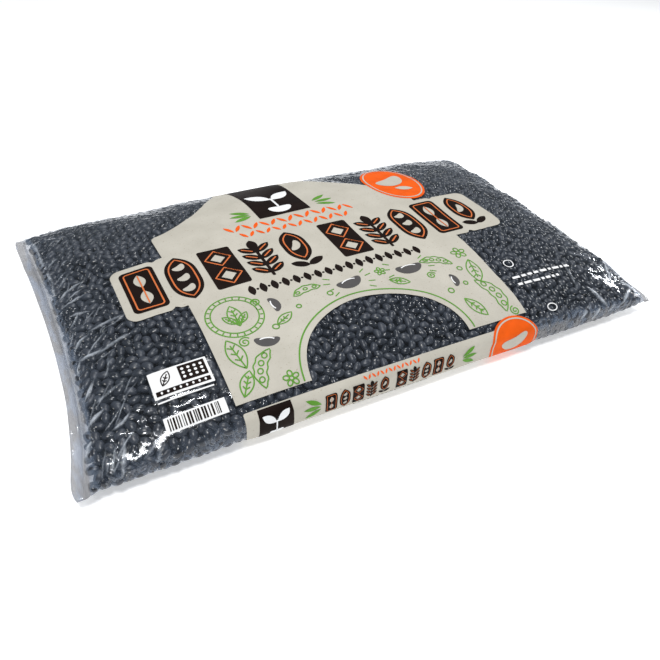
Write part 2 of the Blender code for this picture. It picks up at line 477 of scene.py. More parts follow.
def add_piece(name, points, faces, material, tones=None, replaces=True):
    """A piece of the bag; film and beans stand in for the solid, and the print only lies over it."""
    piece = make_mesh(name, points, faces, material, tones)
    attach(piece, "root")
    if replaces:
        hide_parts("bag")


def ring_faces(rows, columns):
    """Triangles between rows of closed rings."""
    index = np.arange(rows * columns).reshape(rows, columns)
    after = np.roll(index, -1, axis=1)
    a, b, c, d = index[:-1], after[:-1], after[1:], index[1:]
    return np.concatenate([np.stack([a, b, c], 2).reshape(-1, 3), np.stack([a, c, d], 2).reshape(-1, 3)])


def strip_faces(rows, columns, first=0):
    """Triangles between open rows of points, the first of which has the given number."""
    a = first + (np.arange(rows - 1)[:, None] * columns + np.arange(columns - 1)).ravel()
    c = a + columns + 1
    return np.concatenate([np.stack([a, a + columns, c], 1), np.stack([a, c, a + 1], 1)])


def closed_tube(grid, tips=None):
    """Points and triangles of rows of closed rings, with a fan to a tip over each end."""
    rows, columns = grid.shape[:2]
    if tips is None:
        tips = [grid[0].mean(axis=0), grid[-1].mean(axis=0)]
    index = np.arange(columns)
    after = np.roll(index, -1)
    last = (rows - 1) * columns
    tip = np.full(columns, rows * columns)
    fans = [np.stack([after, index, tip], 1), np.stack([index + last, after + last, tip + 1], 1)]
    return np.concatenate([grid.reshape(-1, 3), tips]), np.concatenate([ring_faces(rows, columns), *fans])


# Beans: their places on the skin, as distances along the bag and round it

def neighbours(places, reach):
    tree = KDTree(len(places))
    for number, (along, round_it) in enumerate(places):
        tree.insert((along, round_it, 0.0), number)
    tree.balance()
    pairs = []
    for number, (along, round_it) in enumerate(places):
        found = tree.find_range((along, round_it, 0.0), reach)
        pairs += [(number, other) for _, other, _ in found if other > number]
    return np.array(pairs).T


def reach_of(angle, sizes):
    """Half width of each bean's plan in a direction measured from its long axis."""
    a = sizes[:, 0] / 2
    b = sizes[:, 1] / 2
    return a * b / np.sqrt((b * np.cos(angle)) ** 2 + (a * np.sin(angle)) ** 2)


def settle(rng, area, limit):
    """Places, angles and sizes of one layer of beans, pushed apart until they lie side by side."""
    step = math.sqrt(area / (math.sqrt(3) / 2))
    row_gap = step * math.sqrt(3) / 2
    row, column = np.indices((int(2 * limit / row_gap), int(GIRTH / step))).reshape(2, -1)
    round_it = -GIRTH / 2 + (column + 0.25 + 0.5 * (row % 2)) * step
    places = np.stack([-limit + (row + 0.5) * row_gap, round_it], 1)
    places += rng.uniform(-0.35, 0.35, places.shape) * step
    count = len(places)
    angles = rng.uniform(0, math.pi, count)
    sizes = BEAN_SIZE * (1 + BEAN_SPREAD * rng.standard_normal((count, 3)))
    for turn in range(28):
        if turn % 7 == 0:
            first, second = neighbours(places, 1.25 * BEAN_SIZE[0])
        gap = places[second] - places[first]
        distance = np.maximum(np.linalg.norm(gap, axis=1), 1e-6)
        heading = np.arctan2(gap[:, 1], gap[:, 0])
        wanted = sum(reach_of(heading - angles[bean], sizes[bean]) for bean in (first, second))
        push = gap * (np.clip(0.96 * wanted - distance, 0, None) * 0.45 / distance)[:, None]
        np.add.at(places, first, -push)
        np.add.at(places, second, push)
        places[:, 0] = np.clip(places[:, 0], -limit, limit)
    return places, angles, sizes


def bean_form(rings, sides):
    """Points and faces of one bean of unit size: a rounded body with a slight hollow on its eye side."""
    polar = np.linspace(0, math.pi, rings + 1)[1:-1, None]
    turns = np.linspace(0, 2 * math.pi, sides, endpoint=False)
    rings = [np.cos(polar) + 0 * turns, np.sin(polar) * np.cos(turns), np.sin(polar) * np.sin(turns)]
    points, faces = closed_tube(np.stack(rings, -1), [(1.0, 0.0, 0.0), (-1.0, 0.0, 0.0)])
    ends = points[:, 0] ** 2
    hollow = 0.20 * np.exp(-(points[:, 0] / 0.42) ** 2) * np.clip(points[:, 1], 0, None)
    points[:, 1] += 0.10 * ends - hollow
    points[:, 1:] *= (1 + 0.10 * np.clip(1 - ends, 0, 1))[:, None]
    return points * 0.5, faces[:, ::-1]


def bean_frames(places, angles, depths, rng, tilt):
    """Middle and axes of each bean: length along the skin, width across it, thickness outward."""
    rows = row_at(places[:, 0])
    columns = COLUMNS * (0.5 - places[:, 1] / GIRTH)
    point, normal = read_surface(SKIN, NORMAL, rows, columns)
    ahead = read_grid(SKIN, rows + 0.5, columns) - read_grid(SKIN, rows - 0.5, columns)
    ahead = square_to(ahead, normal)
    long_axis = ahead * np.cos(angles)[:, None] + np.cross(normal, ahead) * np.sin(angles)[:, None]
    pitch = rng.normal(0, tilt, len(places))[:, None] * 0.5
    long_axis = long_axis * np.cos(pitch) + normal * np.sin(pitch)
    up = square_to(normal, long_axis)
    wide = np.cross(up, long_axis)
    roll = rng.normal(0, tilt, len(places))[:, None]
    wide, up = wide * np.cos(roll) + up * np.sin(roll), up * np.cos(roll) - wide * np.sin(roll)
    return point - normal * depths[:, None], np.stack([long_axis, wide, up], axis=1)


def skin_tree():
    points = SKIN[::2, ::2].reshape(-1, 3)
    tree = KDTree(len(points))
    for number, point in enumerate(points.tolist()):
        tree.insert(point, number)
    tree.balance()
    return tree, points, NORMAL[::2, ::2].reshape(-1, 3)


def keep_inside(tree, middles, axes, sizes, clear):
    """Moves beans whose tips come through the film back in; returns how far each still comes out."""
    lookup, points, normals = tree
    reach = axes * (sizes / 2)[:, :, None]
    tips = np.concatenate([reach, -reach], axis=1)
    worst = np.zeros(len(middles))
    for _ in range(4):
        worst[:] = -1.0
        push = np.zeros_like(middles)
        for number, middle in enumerate(middles):
            for place in middle + tips[number]:
                index = lookup.find(place)[1]
                out = float((place - points[index]) @ normals[index]) + clear
                if out > worst[number]:
                    worst[number] = out
                    push[number] = normals[index] * max(out, 0)
        if worst.max() < 0.0002:
            break
        middles -= push
    return worst


def layout_of(places):
    """Layout coordinates (x, s) in millimetres of places on the skin."""
    rows = row_at(places[:, 0])
    return np.stack([at_row(ROW_X, rows), places[:, 1] / GIRTH * at_row(GIRTHS, rows)], 1) / MM


def covered_deep(layout):
    """Which places lie so far under the print that no part of a bean there shows."""
    hidden = covered(layout)
    for dx, dy in ((7, 0), (-7, 0), (0, 7), (0, -7), (5, 5), (5, -5), (-5, 5), (-5, -5)):
        hidden &= covered(layout + [dx, dy])
    return hidden


def add_beans(name, beans, form, material, tones=None):
    """One piece of many like forms, each with its own middle, axes, size and tone."""
    middles, axes, sizes = beans
    base, faces = form
    points = (base * sizes[:, None]) @ axes + middles[:, None]
    offsets = (np.arange(len(middles)) * len(base))[:, None, None]
    if tones is not None:
        tones = np.repeat(tones, len(base))
    add_piece(name, points.reshape(-1, 3), (faces + offsets).reshape(-1, 3), material, tones)


def build_beans():
    """The outer layer, where no print hides it, the beans behind the end seals, and the layer under."""
    rng = np.random.default_rng(BEAN_SEED)
    limit = np.interp(BODY_HALF - 0.0022, FINE_X, FINE_LENGTH) - RUN_HALF
    places, angles, sizes = settle(rng, BEAN_AREA, limit)
    depths = sizes[:, 2] / 2 * 1.04 + BEAN_CLEAR + rng.uniform(0, BEAN_DEPTH_SPREAD, len(places))
    beans = (*bean_frames(places, angles, depths, rng, BEAN_TILT), sizes)
    tree = skin_tree()
    out = keep_inside(tree, *beans, BEAN_CLEAR)
    layout = layout_of(places)
    low = np.abs(layout[:, 1]) * MM > GIRTH * LOW_SHARE
    ragged = RAGGED * (1 + np.sin(places[:, 1] / 0.0085 + 3 * np.sin(places[:, 1] / 0.031)))
    shown = (out < BEAN_OUT) & ~covered_deep(layout) & (np.abs(places[:, 0]) < limit - ragged)
    left = places[:, 0] < -0.05
    tones = rng.uniform(0.25, 1, len(places))
    fine, plain = bean_form(7, 8), bean_form(5, 7)
    upper = shown & ~low
    groups = (("left", upper & left, fine), ("right", upper & ~left, fine), ("base", shown & low, plain))
    for name, chosen, form in groups:
        add_beans("beans_" + name, [part[chosen] for part in beans], form, BEANS, tones[chosen])
    chosen = upper & (rng.uniform(0, 1, len(places)) < EYE_SHARE)
    build_eyes(rng, *[part[chosen] for part in beans])

    ends = end_beans(rng)
    good = keep_inside(tree, *ends, 0.0008) < 0.0003
    add_beans("beans_ends", [part[good] for part in ends], plain, BEANS, rng.uniform(0.25, 0.8, good.sum()))

    under, under_angles, under_sizes = settle(rng, BEAN_AREA * 1.15, limit - 0.008)
    keep = ~covered_deep(layout_of(under)) & (np.abs(under[:, 1]) < GIRTH * LOW_SHARE)
    under, under_angles, under_sizes = under[keep], under_angles[keep], under_sizes[keep]
    under_depths = under_sizes[:, 2] / 2 + SECOND_LAYER + rng.uniform(0, 0.0012, len(under))
    second = (*bean_frames(under, under_angles, under_depths, rng, SECOND_TILT), under_sizes)
    good = keep_inside(tree, *second, SECOND_CLEAR) < 0.002
    # The layer under takes the lowest tones: painted shade of beans further in
    add_beans("beans_under", [part[good] for part in second], plain, BEANS, rng.uniform(0, 0.3, good.sum()))
    return places, angles, sizes, depths


def end_beans(rng):
    """Beans that stand on their sides in the last of the body, behind each end seal."""
    middles = []
    for side in (-1, 1):
        for row, share in enumerate((0.2, 0.5, 0.8)):
            across = (np.arange(-0.141, 0.139, 0.0082) + 0.004 * (row % 2)) * 2 / WIDTH
            x = side * (BODY_HALF - 0.0095 + rng.uniform(-0.002, 0.002, len(across)))
            turn = np.arccos(np.sign(across) * np.abs(across) ** (TOP_POWER / 2))
            low, high = skin(x, -turn), skin(x, turn)
            middles.append(low + (high - low) * (share + rng.uniform(-0.06, 0.06, (len(across), 1))))
    middles = np.concatenate(middles)
    long_axis = unit(rng.normal(0, 0.5, middles.shape) + [0.0, 1.0, 0.0])
    wide = unit(np.cross(long_axis, [1.0, 0.0, 0.0]))
    axes = np.stack([long_axis, wide, np.cross(long_axis, wide)], axis=1)
    return middles, axes, BEAN_SIZE * rng.uniform(0.86, 1.06, middles.shape)


def build_eyes(rng, middles, axes, sizes):
    """The small pale eye on the hollow side of a bean."""
    turns = np.linspace(0, 2 * math.pi, 8, endpoint=False)
    ring = np.stack([0.00095 * np.cos(turns), 0 * turns, 0.0004 * np.sin(turns)], 1)
    form = closed_tube(ring[None], [(0, 0.00016, 0), (0, -0.0002, 0)])
    lean = rng.uniform(0.1, 1.0, len(middles))[:, None]
    wide, up = axes[:, 1], axes[:, 2]
    reach = np.cos(lean) * sizes[:, 1:2] / 2 * 0.90
    lift = np.sin(lean) * sizes[:, 2:] / 2 * 1.06
    out = wide * np.cos(lean) + up * np.sin(lean)
    frames = np.stack([axes[:, 0], out, up * np.cos(lean) - wide * np.sin(lean)], axis=1)
    add_beans("bean_eyes", (middles + wide * reach + up * lift, frames, np.ones_like(sizes)), form, EYE)


def build_core():
    """Mass of beans deeper in the bag, in the darkest tone: painted shade."""
    shell = SKIN[np.abs(ROW_X) < BODY_HALF - 0.012][::3, ::4]
    centre = shell.copy()
    centre[:, :, 2] = (shell[:, :, 2].max(axis=1) + shell[:, :, 2].min(axis=1))[:, None] / 2
    wide = shell[:, :, 1].max(axis=1)[:, None] - 0.03
    centre[:, :, 1] = np.clip(centre[:, :, 1], -wide, wide)
    away = shell - centre
    far = np.linalg.norm(away, axis=2, keepdims=True)
    points, faces = closed_tube(centre + away * np.clip(1 - CORE_DEPTH / far, 0.15, 1))
    # Tone 0, the darkest of the beans: painted shade of the beans deep inside
    add_piece("bean_core", points, faces, BEANS, np.zeros(len(points)))


# Film

FILM_LENGTHS = np.unique(np.concatenate([
    np.linspace(0, END_ZONE, 34),
    np.linspace(END_ZONE, 2 * RUN_HALF - END_ZONE, 206),
    np.linspace(2 * RUN_HALF - END_ZONE, 2 * RUN_HALF, 34),
]))
FILM_ROWS = row_at(FILM_LENGTHS - RUN_HALF)
FILM_TURNS = np.arange(FILM_COLUMNS) * COLUMNS / FILM_COLUMNS
FILM_ROW, FILM_COLUMN = np.meshgrid(FILM_ROWS, FILM_TURNS, indexing="ij")
FILM_X = at_row(ROW_X, FILM_ROW)
FILM_S = at_row(GIRTHS, FILM_ROW) * (0.5 - FILM_COLUMN / COLUMNS)
FILM = np.zeros((*FILM_X.shape, 3))
FILM_OUT = np.zeros_like(FILM)


def blur(grid, times=1):
    for _ in range(times):
        wide = (np.roll(grid, 1, axis=1) + 2 * grid + np.roll(grid, -1, axis=1)) / 4
        padded = np.concatenate([wide[:1], wide, wide[-1:]])
        grid = (padded[:-2] + 2 * wide + padded[2:]) / 4
    return grid


def film_relief(places, angles, sizes, depths):
    """Height of the film over the smooth skin, drawn down between the beans under it."""
    relief = np.full(FILM_X.shape, -1.0)
    row = np.searchsorted(FILM_LENGTHS, places[:, 0] + RUN_HALF)
    column = np.round(FILM_COLUMNS * (0.5 - places[:, 1] / GIRTH)).astype(int)
    cosine, sine = np.cos(angles), np.sin(angles)
    half_long, half_wide, half_thick = sizes.T / 2
    for down in range(-5, 6):
        for over in range(-4, 5):
            r = np.clip(row + down, 0, len(FILM_ROWS) - 1)
            dx = FILM_LENGTHS[r] - RUN_HALF - places[:, 0]
            dy = GIRTH / 2 - (column + over) * GIRTH / FILM_COLUMNS - places[:, 1]
            u = (dx * cosine + dy * sine) / half_long
            v = (dy * cosine - dx * sine) / half_wide
            inner = 1 - u * u - v * v
            rise = half_thick * np.sqrt(np.clip(inner, 0, None)) - depths
            np.maximum.at(relief, (r, (column + over) % FILM_COLUMNS), np.where(inner > 0, rise, -1.0))
    relief = np.maximum(relief, RELIEF_LOWEST)
    softened = relief
    for _ in range(RELIEF_SOFTENING):
        softened = blur(np.maximum(softened, relief))
    return np.maximum(softened, relief - RELIEF_CLEAR / 2) + RELIEF_CLEAR


def end_puckers(x, y):
    """Folds that fan in from the end seals."""
    rng = np.random.default_rng(17)
    height = np.zeros_like(x)
    for side in (-1, 1):
        for start in np.arange(-0.158, 0.16, 0.0135):
            place = start + rng.uniform(-0.004, 0.004)
            lean = rng.normal(0, 0.35)
            length = rng.uniform(0.014, 0.040)
            wide = rng.uniform(0.0016, 0.0034)
            size = rng.uniform(0.0003, 0.0011)
            along = (BODY_HALF - 0.002 - side * x) / length
            aside = y - place - lean * along * length
            ridge = np.exp(-(aside / wide) ** 2) - 0.5 * np.exp(-((aside - 1.8 * wide) / wide) ** 2)
            swell = np.sin(math.pi * np.clip(along * 0.9 + 0.1, 0, 1))
            height += size * ridge * np.where((along > -0.1) & (along < 1), swell, 0)
    return height


def fill_film(beans):
    """The film's surface: the skin, its relief over the beans, and puckers near the ends."""
    points, normal = read_surface(SKIN, NORMAL, FILM_ROW, FILM_COLUMN)
    layout = np.stack([FILM_X.ravel(), FILM_S.ravel()], 1) / MM
    printed = covered(layout) | inside_any(layout, MARK_AREAS)
    printed = blur(printed.reshape(FILM_X.shape).astype(float), 3)
    relief = film_relief(*beans)
    even = blur(relief, 10)
    slack = np.maximum(RELIEF_SHARE * relief + (1 - RELIEF_SHARE) * even, relief)
    relief = slack * (1 - printed) + PRINT_RELIEF * even * printed
    relief *= 1 - FAR_CALM * smooth(FILM_S, 0.140, 0.160)
    relief *= 1 - smooth(np.abs(FILM_X), BODY_HALF - 0.006, BODY_HALF - 0.001)
    FILM[:] = points + normal * (relief + end_puckers(FILM_X, points[:, :, 1]))[:, :, None]
    FILM[:, :, 2] = np.maximum(FILM[:, :, 2], 0.0004)
    FILM_OUT[:] = grid_normals(FILM)
    for end in (0, -1):
        FILM_OUT[end] = NORMAL[end][FILM_COLUMN[0].astype(int)]


def film_faces():
    """Triangles of the film's tube, shut at both ends by joining the upper edge to the lower."""
    rows = len(FILM_ROWS)
    quarter = FILM_COLUMNS // 4
    top = np.arange(quarter, 3 * quarter)
    under = (2 * quarter - top) % FILM_COLUMNS
    after = (2 * quarter - top - 1) % FILM_COLUMNS
    cap = np.concatenate([np.stack([top, under, after], 1), np.stack([top, after, top + 1], 1)])
    cap = cap[(cap[:, 0] != cap[:, 1]) & (cap[:, 1] != cap[:, 2]) & (cap[:, 0] != cap[:, 2])]
    return np.concatenate([ring_faces(rows, FILM_COLUMNS), cap, cap[:, ::-1] + (rows - 1) * FILM_COLUMNS])


def film_haze_and_painted_reflection():
    """Share of milk over the film: a faint haze everywhere and more in the fins, with painted reflection of
    the bright surroundings on the side walls and near the ends.
    """
    side = smooth(np.abs(FILM_S), 0.155, 0.185)
    low = smooth(-FILM_S, 0.158, 0.182) * (1 - smooth(-FILM_S, 0.205, 0.225))
    end = smooth(np.abs(FILM_X), 0.205, 0.245)
    fin = smooth(np.abs(FILM_X), BODY_HALF - 0.011, BODY_HALF - 0.001)
    # Painted reflection on the side walls and the low near wall
    walls = SIDE_PAINTED_REFLECTION * side + SLACK_PAINTED_REFLECTION * low * smooth(FILM_X, 0.08, 0.13)
    return HAZE + walls * (1 - fin) + END_PAINTED_REFLECTION * end + FIN_HAZE * fin


def on_film(layout, lift):
    """Points over the film at layout coordinates (x, s) in millimetres."""
    rows = row_of(layout[:, 0] * MM)
    columns = FILM_COLUMNS * (0.5 - layout[:, 1] * MM / at_row(GIRTHS, rows))
    row = np.interp(rows, FILM_ROWS, np.arange(len(FILM_ROWS)))
    point, normal = read_surface(FILM, FILM_OUT, row, columns)
    return point + normal * lift


CREASES = (
    # start and end (x, s), half width and strength; all lengths in millimetres
    (-246, 112, -247, 72, 1.8, 0.8), (-244, 52, -246, 28, 1.6, 0.7), (-246, 18, -219, 31, 1.5, 0.9),
    (-246, 9, -220, 12, 1.3, 0.8), (-246, -50, -230, -38, 1.6, 1.0), (-245, -62, -222, -63, 1.5, 0.9),
    (-232, -36, -198, -33, 1.4, 0.6), (-230, -66, -196, -55, 1.6, 0.6), (-250, -124, -234, -115, 1.7, 1.0),
    (-252, -146, -244, -131, 1.5, 0.9), (-248, -78, -243, -62, 1.5, 0.8), (-235, -174, -226, -143, 1.5, 0.7),
    (-248, 141, -246, 103, 1.7, 0.8), (-246, -20, -233, -8, 1.4, 0.8), (-246, 86, -244, 46, 1.6, 0.7),
    (-233, -135, -218, -127, 1.3, 0.9), (-249, -100, -238, -88, 1.5, 0.8), (-243, 36, -228, 52, 1.3, 0.6),
    (-244, -6, -222, -14, 1.3, 0.6), (-246, 74, -230, 84, 1.3, 0.6), (-241, -108, -216, -101, 1.3, 0.5),
    (194, -142, 203, -170, 2.2, 1.0), (216, -174, 251, -150, 1.9, 1.2), (171, -176, 184, -163, 2.2, 0.9),
    (186, -182, 195, -164, 2.2, 0.9), (235, -142, 253, -153, 2.0, 1.1), (248, -114, 222, -149, 1.8, 1.0),
    (234, -130, 250, -136, 1.8, 0.9), (190, -109, 183, -139, 1.4, 0.5), (247, -60, 228, -66, 1.3, 0.6),
    (216, -174, 222, -186, 1.9, 1.0), (222, -186, 248, -166, 1.6, 0.9), (205, -176, 214, -164, 1.8, 0.8),
    (248, -20, 226, -14, 1.3, 0.6), (248, 30, 230, 24, 1.3, 0.6), (247, 78, 226, 86, 1.3, 0.6),
    (246, 130, 224, 122, 1.3, 0.7), (203, -170, 209, -166, 1.3, 0.6), (-215, -176, -205, -160, 1.4, 0.5),
)
CREASE_PROFILE = (-1.0, -0.35, 0.1, 0.5, 1.0)
CREASE_STEPS = 20
CREASE_SPREAD = 1.35
CREASE_FOOT = 0.00006
CREASE_RISE = 0.00075
# How strongly a crease shows its pale streak of painted reflection
CREASE_PAINTED_SHEEN = 0.92


def fine_creases():
    """Thin short folds that run in from the end seals, most of them at the left."""
    rng = np.random.default_rng(21)
    folds = []
    for side, count in ((-1, 34), (1, 18)):
        for _ in range(count):
            x = side * rng.uniform(218, 247)
            s = rng.uniform(-168, 130)
            length = rng.uniform(9, 28)
            lean = math.radians(rng.uniform(20, 75))
            end = (x - side * length * math.cos(lean), s + length * math.sin(lean))
            folds.append((x, s, *end, rng.uniform(0.5, 0.9), rng.uniform(0.35, 0.7)))
    return folds


def build_creases():
    """Folds of the film near its ends: low ridges that taper to nothing, with a pale streak of painted
    reflection strongest along each ridge.
    """
    points, faces, tones = [], [], []
    rng = np.random.default_rng(8)
    share = np.linspace(0, 1, CREASE_STEPS)
    taper = np.sin(math.pi * np.clip(share, 0.01, 0.99)) ** 0.8
    for x0, s0, x1, s1, wide, strength in [*CREASES, *fine_creases()]:
        along = np.array([x1 - x0, s1 - s0])
        aside = np.array([-along[1], along[0]]) / np.linalg.norm(along)
        bow = rng.uniform(-1, 1) * 2.2 * np.sin(math.pi * share) + rng.normal(0, 0.12, CREASE_STEPS)
        line = np.array([x0, s0]) + along * share[:, None] + aside * bow[:, None]
        faces.append(strip_faces(len(CREASE_PROFILE), CREASE_STEPS, len(points) * CREASE_STEPS)[:, ::-1])
        for across in CREASE_PROFILE:
            place = line + aside * (across * CREASE_SPREAD * wide * (0.25 + 0.75 * taper))[:, None]
            height = CREASE_FOOT + CREASE_RISE * taper * (1 - across * across) * strength
            points.append(on_film(place, height[:, None]))
            # Painted reflection: strongest on the ridge's middle line, fading to its sides and tips
            tones.append(CREASE_PAINTED_SHEEN * (1 - abs(across)) * strength * taper)
    points, faces, tones = [np.concatenate(part) for part in (points, faces, tones)]
    add_piece("film_creases", points, faces, FILM_CREASE_PAINTED_SHEEN, tones, replaces=False)


def build_back_seam():
    """The lengthwise lap seam of the film, under the bag."""
    x = np.linspace(-250, 250, 160)
    middle = at_row(GIRTHS, row_of(x * MM)) / MM / 2
    section = ((-7.0, 0.00002), (-6.4, 0.0003), (6.4, 0.0003), (7.0, 0.00002))
    strips = [on_film(np.stack([x, middle + aside], 1), lift) for aside, lift in section]
    haze = np.full(len(x) * len(section), SEAM_HAZE)
    add_piece("back_seam", np.concatenate(strips), strip_faces(len(section), len(x)), FILM_SEAL, haze)


# Print

def add_sheet(name, loops, material, lift=LIFT_ART, grid=0.0, holes=()):
    """A thin printed area that follows the film: all that lies in a loop and in no hole."""
    points, edges = [], []
    for loop in [*loops, *holes]:
        outline = finer(loop, min(PRINT_STEP, grid or PRINT_STEP))
        first, count = len(points), len(outline)
        points.extend(outline)
        edges += [(first + n, first + (n + 1) % count) for n in range(count)]
    points = np.array(points)
    if grid:
        low, high = points.min(axis=0), points.max(axis=0)
        gx, gy = np.meshgrid(np.arange(low[0], high[0], grid), np.arange(low[1], high[1], grid))
        gx[::2] += grid / 2
        free = np.stack([gx.ravel(), gy.ravel()], 1)
        points = np.concatenate([points, free[inside_any(free, loops)]])
    made = delaunay_2d_cdt([Vector(point) for point in points], edges, [], 0, 1e-4)
    flat = np.array([(vert.x, vert.y) for vert in made[0]])
    faces = np.array(made[2])
    middle = flat[faces].mean(axis=1)
    faces = faces[inside_any(middle, loops) & ~inside_any(middle, holes)]
    used, faces = np.unique(faces, return_inverse=True)
    add_piece(name, on_film(flat[used], lift), faces.reshape(-1, 3), material, replaces=False)


def add_lines(name, lines, width, material, lift=LIFT_ART):
    """Printed lines of one width, in a few layers so that lines that cross don't share a height."""
    points, faces = [], []
    count = 0
    for number, line in enumerate(lines):
        line = finer(np.asarray(line, float), PRINT_STEP, closed=False)
        along = unit(np.gradient(line, axis=0))
        aside = np.stack([-along[:, 1], along[:, 0]], 1) * width / 2
        height = lift + (number % 7) * LINE_LAYER
        points += [on_film(line + aside, height), on_film(line - aside, height)]
        faces.append(strip_faces(2, len(line), count))
        count += 2 * len(line)
    add_piece(name, np.concatenate(points), np.concatenate(faces), material, replaces=False)


def closed_line(points):
    return np.concatenate([points, points[:2]])


def motif(kind, w, h):
    """Black shapes, orange inlines and holes of one tall ornament, round its own middle."""
    shapes, lines, holes = [], [], []
    if kind == "leaf":
        shapes.append(tile(w, h, w * 0.16))
        lines.append(closed_line(tile(w * 0.74, h * 0.88, w * 0.10)))
        holes += [turned(lens(h * 0.32, w * 0.34, 16), 90, 0, cy) for cy in (-h * 0.20, h * 0.20)]
        lines.append(np.array([[0.0, -h * 0.34], [0.0, h * 0.34]]))
    elif kind == "lozenges":
        shapes.append(tile(w, h, w * 0.08))
        diamond = np.array([[w * 0.40, 0], [0, h * 0.21], [-w * 0.40, 0], [0, -h * 0.21]])
        for cy in (-h * 0.235, h * 0.235):
            lines.append(closed_line(diamond * 0.98 + [0, cy]))
            holes.append(diamond * 0.56 + [0, cy])
    elif kind == "bud":
        middle = h * 0.08
        shapes.append(turned(lens(h * 0.84, w * 0.80, 24, 3.0), 90, 0, middle))
        lines.append(closed_line(turned(lens(h * 0.68, w * 0.54, 24, 3.0), 90, 0, middle)))
        holes.append(turned(kidney(h * 0.28, w * 0.27), 62, 0, middle))
        for angle in (24, 156):
            shapes.append(turned(lens(w * 0.58, h * 0.13, 12, 2.6) + [w * 0.27, 0], angle, 0, -h * 0.44))
    elif kind == "pod":
        shapes.append(turned(lens(h * 1.04, w * 0.92, 32, 3.4), 90))
        lines.append(closed_line(turned(lens(h * 0.90, w * 0.68, 32, 3.4), 90)))
        holes += [turned(kidney(h * 0.20, w * 0.28), 28, 0, cy) for cy in (-h * 0.25, 0.0, h * 0.25)]
    else:
        shapes.append(rounded(-w * 0.05, -h / 2, w * 0.05, h * 0.36, w * 0.03, 3))
        shapes.append(turned(lens(h * 0.28, w * 0.32, 12, 2.6), 90, 0, h * 0.36))
        for level in range(4):
            for angle in (38, 142):
                foot = h * (0.19 * level - 0.42)
                shapes.append(turned(lens(w * 0.62, h * 0.135, 14, 2.6) + [w * 0.31, 0], angle, 0, foot))
                lines.append(turned([[w * 0.14, 0.0], [w * 0.50, 0.0]], angle, 0, foot))
    return shapes, lines, holes


ORNAMENTS = ("leaf", "pod", "lozenges", "sprig", "bud", "lozenges", "sprig", "pod", "leaf", "bud")


def title_row(left, right, low, high, rise):
    """Shapes, inlines and holes of a row of ornaments between two edges."""
    row = ([], [], [])
    scale = (right - left) / (TITLE_RIGHT - TITLE_LEFT)
    for kind, slot in zip(ORNAMENTS, title_slots()):
        start, end = left + (np.array(slot) - TITLE_LEFT) * scale
        centre = np.array([(start + end) / 2, (low + high) / 2])
        for kept, made in zip(row, motif(kind, end - start, high - low)):
            kept += [title_rise(part + centre, rise) for part in made]
    return row


def bead_row(left, right, low, high, count):
    """A row of upright lens beads with a small dot between each two."""
    pitch = (right - left) / count
    middle = (low + high) / 2
    shapes = []
    for number in range(count):
        x = left + pitch * (number + 0.5)
        shapes.append(turned(lens(high - low, pitch * 0.62), 90, x, middle))
        if number:
            shapes.append(ellipse(x - pitch / 2, middle, pitch * 0.12, count=10))
    return shapes


def slant_row(left, right, low, high, count):
    """A row of leaves that lean to either side in turn."""
    pitch = (right - left) / count
    leaf = lens((high - low) * 1.12, pitch * 0.42)
    places = [(58 if number % 2 else 122, left + pitch * (number + 0.5)) for number in range(count)]
    return [turned(leaf, lean, x, (low + high) / 2) for lean, x in places]


def sprout(cx, cy, size):
    """Emblem: a bean seed with a stem and two leaves."""
    leaf = lens(size * 0.62, size * 0.30) + [size * 0.33, 0]
    half = size * 0.025
    return [
        kidney(size * 0.52, size * 0.30) + [cx, cy - size * 0.44],
        *[turned(leaf, angle, cx, cy + size * 0.05) for angle in (38, 142)],
        rounded(cx - half, cy - size * 0.34, cx + half, cy + size * 0.14, size * 0.02, 3),
    ]


def rays(cx, cy, inner, outer, angles, width):
    leaf = lens(outer - inner, width, 8) + [(inner + outer) / 2, 0]
    return [turned(leaf, angle, cx, cy) for angle in angles]


def leaf_lines(cx, cy, length, width, angle, veins=3):
    parts = [closed_line(lens(length, width, 16)), [(-length * 0.5, 0.0), (length * 0.30, 0.0)]]
    for number in range(veins):
        x = length * (-0.22 + 0.2 * number)
        parts += [[(x, 0.0), (x + length * 0.10, side * width * 0.26)] for side in (-1, 1)]
    return [turned(part, angle, cx, cy) for part in parts]


def pod_lines(cx, cy, length, width, angle, bend=0.16, seeds=4):
    along = np.linspace(-1, 1, 22)
    body = width / 2 * (1 - along ** 4) * (1 + 0.10 * np.cos(seeds * math.pi * along))
    centre = bend * length * (1 - along ** 2)
    upper = np.stack([along * length / 2, centre + body], 1)
    lower = np.stack([along * length / 2, centre - body], 1)
    parts = [closed_line(np.concatenate([upper, lower[::-1][1:-1]]))]
    for t in np.linspace(-0.62, 0.62, seeds):
        seed = ellipse(t * length / 2, bend * length * (1 - t * t), width * 0.24, width * 0.20, 12)
        parts.append(closed_line(seed))
    return [turned(part, angle, cx, cy) for part in parts]


def tendril(cx, cy, size, angle, side=1):
    turns = np.linspace(0, 3.4 * math.pi, 44)
    radius = size * (1 - turns / (3.9 * math.pi))
    return [turned(np.stack([radius * np.cos(turns), side * radius * np.sin(turns)], 1), angle, cx, cy)]


def small_ring(cx, cy, radius, count=14):
    return [closed_line(ellipse(cx, cy, radius, count=count))]


def blossom(cx, cy, size):
    petal = closed_line(ellipse(size * 0.62, 0, size * 0.36, size * 0.28, 16))
    return small_ring(cx, cy, size * 0.26) + [turned(petal, 72 * number + 18, cx, cy) for number in range(5)]


# Materials

def feed(tree, node, links):
    """Links a node's inputs to sockets, or sets them to plain values."""
    for socket, value in links.items():
        if isinstance(value, bpy.types.NodeSocket):
            tree.links.new(value, node.inputs[socket])
        else:
            node.inputs[socket].default_value = value


def add_node(tree, kind, links, output=0, **settings):
    """Adds a node with its settings and inputs, and returns one of its outputs."""
    node = tree.nodes.new(kind)
    for key, value in settings.items():
        setattr(node, key, value)
    feed(tree, node, links)
    return node.outputs[output]


